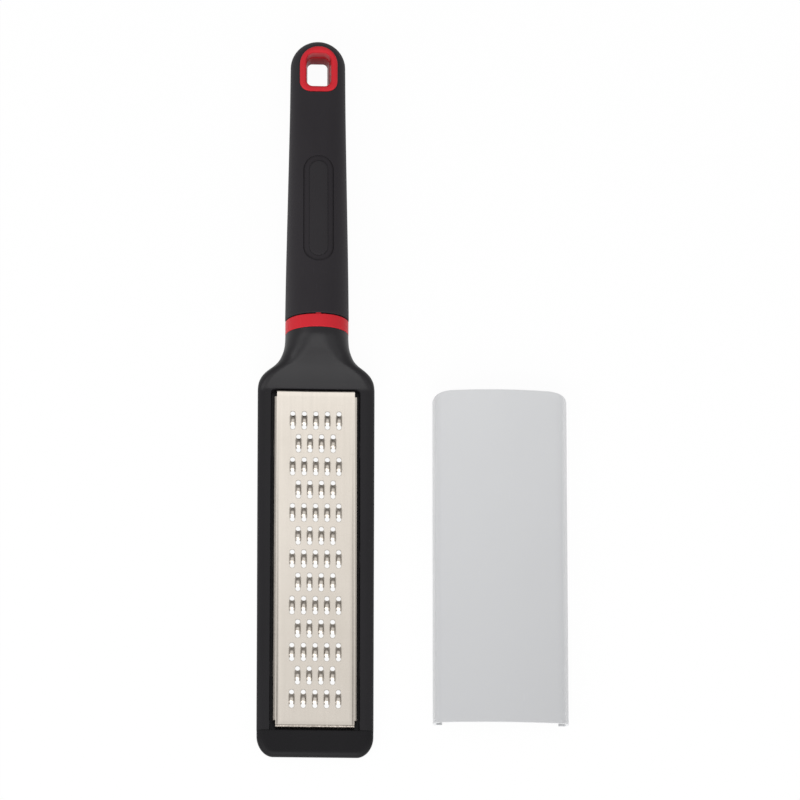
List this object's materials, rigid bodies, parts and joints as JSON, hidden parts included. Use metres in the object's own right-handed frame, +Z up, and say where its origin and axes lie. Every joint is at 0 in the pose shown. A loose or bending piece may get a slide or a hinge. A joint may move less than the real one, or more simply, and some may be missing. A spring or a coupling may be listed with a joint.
{
  "type": "rasp zester",
  "caption": "Hand-held rasp zester with a two-way toothed blade in a plastic frame, a soft grip with a hanging hole, and a slide-off guard.",
  "frame": {"origin": "under the shoulder, on the long axis, at the handle end of the blade recess, on the plane the rasp lies on", "axes": "+X across the blade towards the cover that lies beside it, +Y along the handle towards the hanging hole, +Z up out of the toothed face"},
  "size_m": [0.1321, 0.3133, 0.024],
  "materials": {
    "frame_plastic": "satin moulded",
    "blade_steel": "satin stainless",
    "bumper_rubber": "matt",
    "red_plastic": "gloss",
    "grip_rubber": "soft touch",
    "core_plastic": "moulded",
    "badge_plastic": "satin, bare",
    "cover_plastic": "translucent frosted"
  },
  "bodies": {
    "rasp": {"frame": "frame_plastic", "blade": "blade_steel", "tip_bumper": "bumper_rubber", "collar": "red_plastic", "handle_core": "core_plastic", "grip": "grip_rubber", "badge_inlay": "badge_plastic", "hang_hole_liner": "red_plastic"},
    "cover": {"cover": "cover_plastic"}
  },
  "joints": [
    {"name": "cover_slide", "type": "slide", "parent": "rasp", "child": "cover", "axis": [0, -1, 0], "range_m": [0, 0.16]}
  ]
}
